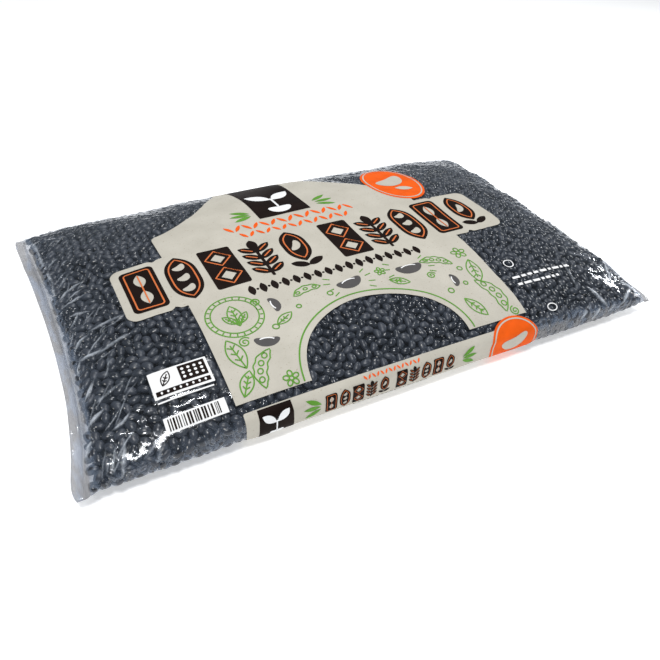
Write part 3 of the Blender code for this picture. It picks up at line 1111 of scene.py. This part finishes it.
def noise(tree, place, scale, detail=3.0, rough=0.55):
    links = {"Vector": place, "Scale": scale, "Detail": detail, "Roughness": rough}
    return add_node(tree, "ShaderNodeTexNoise", links)


def ramp(tree, value, stops):
    colour = add_node(tree, "ShaderNodeValToRGB", {"Fac": value})
    elements = colour.node.color_ramp.elements
    for number, (at, shown) in enumerate(stops):
        element = elements[number] if number < 2 else elements.new(at)
        element.position = at
        element.color = (*shown, 1.0)
    return colour


def grey(value):
    return (value, value, value)


def blend(tree, factor, base, colour):
    return add_node(tree, "ShaderNodeMix", {0: factor, 6: base, 7: (*colour, 1.0)}, 2, data_type="RGBA")


def calculate(tree, operation, *values):
    return add_node(tree, "ShaderNodeMath", dict(enumerate(values)), operation=operation)


def stretch(tree, place, scale):
    return add_node(tree, "ShaderNodeMapping", {"Vector": place, "Scale": scale})


def bump(tree, height, strength, distance=0.0004):
    return add_node(tree, "ShaderNodeBump", {"Height": height, "Strength": strength, "Distance": distance})


def tone_of(tree):
    """The number that the mesh carries for each point."""
    return add_node(tree, "ShaderNodeAttribute", {}, "Fac", attribute_name="tone")


def mix_shaders(tree, amount, first, second):
    return add_node(tree, "ShaderNodeMixShader", {0: amount, 1: first, 2: second})


def start_material(name):
    material = bpy.data.materials.new(name)
    material.use_nodes = True
    tree = material.node_tree
    place = add_node(tree, "ShaderNodeTexCoord", {}, "Object")
    return material, tree, tree.nodes["Principled BSDF"], place


def shade(tree, shader, colour, roughness, **more):
    feed(tree, shader, {"Base Color": colour, "Roughness": roughness})
    feed(tree, shader, {key.replace("_", " "): value for key, value in more.items()})


def set_surface(tree, shader):
    feed(tree, tree.nodes["Material Output"], {"Surface": shader})


def print_ink(name, roughness, specular, base_of, relief=0.15):
    """A printed ink with a faint relief; base_of makes its colour from the tree and the place."""
    material, tree, shader, place = start_material(name)
    feed(tree, shader, {
        "Base Color": base_of(tree, place), "Roughness": roughness, "Specular IOR Level": specular,
        "Normal": bump(tree, noise(tree, place, 160.0), relief),
    })
    return material


def ink(name, colour, roughness=0.60, vary=0.10, specular=0.15):
    """A plain ink, cloudy by a share of its colour."""
    shares = ((0.3, 1 - vary), (0.7, 1 + vary))
    stops = [(at, [min(part * share, 1.0) for part in colour]) for at, share in shares]

    def base_of(tree, place):
        return ramp(tree, noise(tree, place, 70.0), stops)

    return print_ink(name, roughness, specular, base_of)


def cream_base(tree, place):
    """Cream with fibre specks, brown and green."""
    creams = ((0.3, (0.475, 0.447, 0.382)), (0.7, (0.535, 0.505, 0.436)))
    base = ramp(tree, noise(tree, place, 45.0, 5.0), creams)
    brown = ramp(tree, noise(tree, place, 620.0, 2.0), ((0.66, grey(0.0)), (0.72, grey(0.55))))
    base = blend(tree, brown, base, (0.27, 0.20, 0.13))
    long = stretch(tree, place, (300.0, 1100.0, 500.0))
    fibre = ramp(tree, noise(tree, long, 1.0, 2.0), ((0.68, grey(0.0)), (0.74, grey(0.4))))
    return blend(tree, fibre, base, (0.30, 0.31, 0.20))


def bean_skin():
    """Blue-black satin skin, each bean in its own tone, with a faint pale bloom; the lowest tones, given to
    the layer under and the core, are painted shade.
    """
    material, tree, shader, place = start_material("beans")
    tone = tone_of(tree)
    # Tones below 0.25 are painted shade for the beans under the outer layer
    bean_blacks_and_depth_shade = ((0.0, (0.003, 0.004, 0.006)), (0.25, (0.012, 0.015, 0.021)), (1.0, (0.036, 0.042, 0.056)))
    base = ramp(tree, tone, bean_blacks_and_depth_shade)
    bloom = ramp(tree, noise(tree, place, 110.0, 2.0), ((0.45, grey(0.0)), (0.75, grey(0.30))))
    rough = ramp(tree, tone, ((0.25, grey(0.18)), (1.0, grey(0.44))))
    pores = bump(tree, noise(tree, place, 900.0, 2.0), 0.05)
    shade(tree, shader, blend(tree, bloom, base, (0.068, 0.080, 0.102)), rough, Normal=pores)
    return material


def film_material(name, gloss_rough, tint):
    """Clear film: a gloss that grows at low angles, and a faint haze, from the mesh's tone; on the clear
    film's walls and near its ends that haze is painted reflection.
    """
    material, tree, shader, place = start_material(name)
    tree.nodes.remove(shader)
    normal = bump(tree, noise(tree, place, 60.0, 3.0, 0.5), 0.35, 0.001)
    haze = tone_of(tree)
    # Strong milk, as in the fins, lets less through: partly the film's own grey, partly painted shade of the
    # floor under it
    through = ramp(tree, haze, ((0.10, (0.98, 0.985, 0.99)), (0.40, (0.68, 0.68, 0.69))))
    clear = add_node(tree, "ShaderNodeBsdfTransparent", {"Color": through})
    links = {"Color": FILM_MIRROR, "Roughness": gloss_rough, "Normal": normal}
    gloss = add_node(tree, "ShaderNodeBsdfGlossy", links)
    facing = add_node(tree, "ShaderNodeLayerWeight", {"Blend": 0.5, "Normal": normal}, "Facing")
    edge = calculate(tree, "MULTIPLY_ADD", calculate(tree, "POWER", facing, 5.0), 0.8, FILM_GLOSS)
    streaks = noise(tree, stretch(tree, place, (1.0, 0.3, 0.3)), 120.0)
    cloud = ramp(tree, streaks, ((0.38, grey(0.35)), (0.66, grey(1.0))))
    # The haze share, painted reflection on the clear film's walls and ends, sets how much milk shows
    cloud = calculate(tree, "MULTIPLY", cloud, haze)
    pale = ramp(tree, cloud, ((0.12, tint), (0.30, (0.43, 0.43, 0.44))))
    milk = add_node(tree, "ShaderNodeBsdfDiffuse", {"Color": pale})
    set_surface(tree, mix_shaders(tree, cloud, mix_shaders(tree, edge, clear, gloss), milk))
    return material


def crease_painted_sheen_film():
    """A fold of film: a soft pale streak of painted reflection, from the mesh's tone, with a gloss."""
    material, tree, shader, place = start_material("crease_painted_sheen_film")
    cloud = ramp(tree, noise(tree, place, 180.0), ((0.3, grey(0.45)), (0.7, grey(1.0))))
    # Pale bluish colour of the fold: painted reflection of the bright surroundings
    shade(tree, shader, ramp(tree, cloud, ((0.4, (0.42, 0.47, 0.54)), (1.0, (0.74, 0.79, 0.86)))), 0.22)
    clear = add_node(tree, "ShaderNodeBsdfTransparent", {"Color": (1.0, 1.0, 1.0, 1.0)})
    amount = calculate(tree, "MULTIPLY", tone_of(tree), cloud)
    set_surface(tree, mix_shaders(tree, amount, clear, shader.outputs["BSDF"]))
    return material


BEANS = bean_skin()
CREAM = print_ink("print_cream", 0.55, 0.2, cream_base, 0.12)
BLACK = ink("print_black", (0.0105, 0.0055, 0.0042), 0.50, 0.25, 0.05)
ORANGE = ink("print_orange", (0.80, 0.105, 0.006), specular=0.1)
RUST = ink("print_rust", (0.60, 0.155, 0.045))
GREEN = ink("print_green", (0.105, 0.28, 0.033))
GREY = ink("print_grey", (0.080, 0.075, 0.075))
WHITE = ink("print_white", (0.84, 0.84, 0.84), 0.45, 0.04)
EYE = ink("bean_eye", (0.62, 0.60, 0.56), 0.5, 0.15)
FILM_CLEAR = film_material("clear_film", 0.09, (0.55, 0.70, 0.95))
FILM_SEAL = film_material("seal_film", 0.16, (0.72, 0.74, 0.78))
FILM_CREASE_PAINTED_SHEEN = crease_painted_sheen_film()


# Building

def build_panel():
    add_sheet("print_panel", PANEL, CREAM, LIFT_BASE, 3.0, [WINDOW])
    shapes, lines, holes = title_row(TITLE_LEFT, TITLE_RIGHT, TITLE_LOW, TITLE_HIGH, TITLE_RISE)
    add_sheet("title_ornaments", shapes, BLACK, grid=4.0, holes=holes)
    add_lines("title_inlines", lines, 1.3, RUST, LIFT_FINE)
    add_sheet("title_beads", bead_row(-102, 68, -58, -45.5, 17), BLACK)
    add_sheet("accent_rows", slant_row(-86, 48, 38.5, 50.5, 15) + slant_row(-76, 38, 25.5, 35.5, 14), ORANGE)
    add_sheet("emblem_square", [np.array([(-46.0, 55), (8, 55), (9, 170), (-47, 170)])], BLACK, grid=4.0)
    add_sheet("emblem_sprout", sprout(-19, 88, 46), WHITE, LIFT_FINE)
    sparks = rays(-46, 66, 6, 26, (152, 176, 200), 5.5) + rays(8, 66, 10, 30, (-20, 4, 28), 5.5)
    add_sheet("green_rays", sparks, GREEN)


SEAL_PLACE = (-121, -75)
GARDEN = (
    (leaf_lines, -134, -112, 30, 13, 100), (leaf_lines, -136, -139, 22, 10, 60),
    (pod_lines, -117, -132, 34, 10, 64), (tendril, -124, -104, 5.0, 30), (blossom, -104, -146, 6.5),
    (leaf_lines, -86, -92, 18, 8, 30, 2), (pod_lines, -56, -70, 26, 7.5, 8, 0.12, 3),
    (tendril, -100, -66, 4.2, 200, -1),
    (small_ring, -40, -80, 2.4), (small_ring, -96, -98, 2.6), (small_ring, -70, -84, 2.0),
    (blossom, 14, -69, 5.0), (leaf_lines, 24, -86, 18, 7.5, -30, 2), (pod_lines, 68, -76, 30, 9, -24),
    (blossom, 97, -70, 7.5), (leaf_lines, 96, -96, 30, 13, -104), (pod_lines, 92, -127, 40, 11, -78),
    (leaf_lines, 72, -134, 24, 10, -62), (tendril, 104, -148, 4.6, 90), (tendril, 54, -90, 4.4, 10),
    (small_ring, 84, -90, 2.4), (small_ring, 60, -112, 2.6), (small_ring, 78, -108, 2.0),
    (small_ring, *SEAL_PLACE, 23.0, 48), (small_ring, *SEAL_PLACE, 19.0, 48),
)
SEAL_LEAVES = ((*SEAL_PLACE, 24, 11, 90), (-126.5, -79, 14, 6, 130, 2), (-115.5, -79, 14, 6, 50, 2))
GREY_BEANS = (
    # place, angle and length
    (-87, -74, 96, 17), (-18, -73, 12, 25), (41, -74, 0, 26), (-108, -109, -16, 20), (70, -102, 84, 15),
)


def build_garden():
    """Green line drawings round the window, with grey beans among them."""
    lines = []
    for draw, *spec in GARDEN:
        lines += draw(*spec)
    lines += [turned([(19.8, 0.0), (22.2, 0.0)], 15 * number, *SEAL_PLACE) for number in range(24)]
    for spec in SEAL_LEAVES:
        lines += leaf_lines(*spec)
    add_lines("garden_lines", lines, 1.1, GREEN)
    bow = arc(PANEL_X, PANEL_LOW, WINDOW_WIDE + ARC_GAP, WINDOW_HIGH + ARC_GAP, 1, 179, 90)
    add_lines("window_arc", [bow], 1.3, GREEN)
    beans, shines = [], []
    for x, s, angle, size in GREY_BEANS:
        beans.append(turned(kidney(size, size * 0.48), angle, x, s))
        shines.append(turned(arc(0, -size * 0.02, size * 0.34, size * 0.16, 35, 145, 10), angle, x, s))
    add_sheet("grey_beans", beans, GREY)
    add_lines("bean_shines", shines, 1.1, WHITE, LIFT_FINE)
    glow = []
    for x, s, reach in ((-18, -73, 17), (41, -74, 18)):
        for angle in (-32, -12, 12, 32, 148, 168, 192, 212):
            glow.append(turned([(reach, 0.0), (reach + 6.0, 0.0)], angle, x, s))
    add_lines("garden_rays", glow, 1.0, GREEN)


def build_badges():
    x, s, half_wide, half_high = BADGE
    add_sheet("badge", [ellipse(*BADGE, 64)], ORANGE, LIFT_FIELD, 3.0)
    ring = closed_line(ellipse(x, s, half_wide - 3.2, half_high - 3.6, 64))
    add_lines("badge_ring", [ring], 1.5, CREAM, LIFT_FINE)
    marks = [turned(kidney(36, 22), 22, x, s + 5), turned(lens(20, 10), -20, x + 4, s - 18)]
    add_sheet("badge_bean", marks, CREAM, LIFT_FINE)
    x, s, radius = STRIP_BADGE
    add_sheet("strip_badge", [ellipse(*STRIP_BADGE, count=48)], ORANGE, LIFT_FIELD, 2.0)
    add_lines("strip_badge_ring", small_ring(x, s, radius - 2.6, 48), 1.3, CREAM, LIFT_FINE)
    marks = [turned(kidney(27, 13.5), 14, x, s + 2), turned(lens(15, 6), -20, x + 3, s - 12.5)]
    add_sheet("strip_badge_bean", marks, CREAM, LIFT_FINE, 2.0)


def build_strip():
    add_sheet("strip", [STRIP_OUTLINE], CREAM, LIFT_BASE, 2.4)
    square = np.array([(-137.0, -161), (-138, -192), (-110, -192), (-111, -161)])
    add_sheet("strip_square", [square], BLACK, LIFT_FIELD, 2.0)
    add_sheet("strip_sprout", sprout(-124, -176, 21), WHITE, LIFT_FINE, 2.0)
    add_sheet("strip_accents", slant_row(-52, 0, -166, -162, 14), ORANGE)
    shapes, lines, holes = title_row(-85, 34, -184, -167.5, 0.0)
    add_sheet("strip_ornaments", shapes, BLACK, grid=1.6, holes=holes)
    add_lines("strip_inlines", lines, 0.32, RUST, LIFT_FINE)
    add_sheet("strip_beads", bead_row(-60, 10, -192, -187, 17), BLACK)
    sparks = rays(-84, -176, 5, 19, (150, 176, 202), 4) + rays(36, -176, 4, 18, (-22, 4, 30), 4)
    add_sheet("strip_rays", sparks, GREEN, grid=2.0)


def build_marks():
    """Small white marks printed straight on the clear film, with their black fields."""
    add_sheet("mark_box", [rounded(-200, -128, -156, -104.5, 0.5)], WHITE, LIFT_BASE, 4.0)
    fields = [rounded(-178, -120, -158, -106, 0.3), rounded(-198, -126, -158, -122, 0.3)]
    add_sheet("mark_fields", fields, BLACK)
    add_lines("mark_leaf", leaf_lines(-188.5, -113, 13, 6, 60, 2), 0.9, BLACK)
    dots = [ellipse(-175 + 4.6 * n, -109.5 - 3.6 * m, 1.2, count=8) for n in range(4) for m in range(3)]
    dots += [turned(lens(2.4, 1.6), 90, -194 + 4.6 * n, -124) for n in range(8)]
    add_sheet("mark_dots", dots, WHITE, LIFT_FINE)
    add_lines("mark_line", [[(-199, -131), (-158, -131)]], 1.2, WHITE)
    add_sheet("bars_field", [rounded(-199, -155, -155, -143, 0.4)], WHITE, LIFT_BASE, 4.0)
    rng = np.random.default_rng(6)
    bars = []
    x = -196.5
    while x < -159:
        width = rng.choice((0.5, 0.9, 1.4))
        bars.append(rounded(x, -153.5, x + width, -144.5, 0.1, 2))
        x += width + rng.choice((0.6, 0.9, 1.3))
    add_sheet("bars", bars, BLACK)
    ticks = []
    for row, x, right in ((-115.0, 126, 195), (-123.5, 126, 175)):
        while x < right:
            length = rng.choice((3.0, 5.0, 8.0))
            ticks.append([(x, row), (min(x + length, right), row)])
            x += length + 2.2
    add_lines("white_dashes", ticks, 2.6, WHITE)
    rings = small_ring(135, -97, 4.5, 20) + [closed_line(ellipse(143, -154, 5, 3.6, 20))]
    add_lines("white_rings", rings, 1.0, WHITE)


# Stage

FLOOR_GLOW = 0.42         # keeps the plain floor near white
LAMPS = (
    # name, place, aim, width, height and power
    ("key", (-0.45, -0.75, 1.95), (0.0, 0.0, 0.02), 0.45, 0.40, 27.0),
    ("overhead", (-0.14, 0.09, 1.52), (-0.175, -0.14, 0.04), 0.17, 0.12, 2.3),
    ("sparkle", (0.25, 0.62, 1.35), (0.0, 0.0, 0.05), 0.06, 0.06, 6.5),
    ("left", (-0.52, 0.10, 1.48), (-0.22, -0.14, 0.04), 0.07, 0.07, 0.8),
    ("right", (1.50, 0.20, 0.62), (0.22, -0.14, 0.03), 0.28, 0.22, 5.5),
)


def build_stage():
    material, tree, shader, place = start_material("floor")
    base = ramp(tree, noise(tree, place, 3.0), ((0.3, grey(0.90)), (0.7, grey(0.93))))
    shade(tree, shader, base, 0.85, Emission_Color=(1.0, 1.0, 1.0, 1.0), Emission_Strength=FLOOR_GLOW)
    corners = np.array([(-7, -7, 0), (7, -7, 0), (7, 7, 0), (-7, 7, 0)], float)
    floor = make_mesh("floor", corners, np.array([(0, 1, 2), (0, 2, 3)]), material)
    floor.location.z = -0.0002


def build_light():
    for name, place, aim, wide, high, power in LAMPS:
        data = bpy.data.lights.new(name, "AREA")
        data.shape = "RECTANGLE"
        data.size = wide
        data.size_y = high
        data.energy = power
        light = bpy.data.objects.new(name, data)
        bpy.context.scene.collection.objects.link(light)
        light.location = place
        light.rotation_euler = (Vector(place) - Vector(aim)).to_track_quat("Z", "Y").to_euler()
    scene = bpy.context.scene
    scene.world = bpy.data.worlds.new("world")
    scene.world.use_nodes = True
    tree = scene.world.node_tree
    feed(tree, tree.nodes["Background"], {"Color": (0.86, 0.93, 1.0, 1.0), "Strength": 0.25})
    scene.view_settings.view_transform = "Standard"
    scene.view_settings.look = "None"


def build_camera():
    cos_yaw, sin_yaw = math.cos(CAMERA_YAW), math.sin(CAMERA_YAW)
    cos_pitch, sin_pitch = math.cos(CAMERA_PITCH), math.sin(CAMERA_PITCH)
    ahead = Vector((sin_yaw * cos_pitch, cos_yaw * cos_pitch, -sin_pitch))
    right = Vector((cos_yaw, -sin_yaw, 0.0))
    up = right.cross(ahead)
    cos_roll, sin_roll = math.cos(CAMERA_ROLL), math.sin(CAMERA_ROLL)
    axes = (right * cos_roll + up * sin_roll, up * cos_roll - right * sin_roll, -ahead)
    data = bpy.data.cameras.new("camera")
    data.lens = CAMERA_LENS
    data.sensor_width = 36.0
    data.clip_start = 0.01
    camera = bpy.data.objects.new("camera", data)
    bpy.context.scene.collection.objects.link(camera)
    camera.matrix_world = Matrix.Translation(CAMERA_PLACE) @ Matrix(axes).transposed().to_4x4()
    bpy.context.scene.camera = camera


def main():
    beans = build_beans()
    build_core()
    fill_film(beans)
    add_piece("film", FILM.reshape(-1, 3), film_faces(), FILM_CLEAR, film_haze_and_painted_reflection().ravel())
    build_creases()
    build_back_seam()
    build_panel()
    build_garden()
    build_badges()
    build_strip()
    build_marks()
    build_stage()
    build_light()
    build_camera()


main()
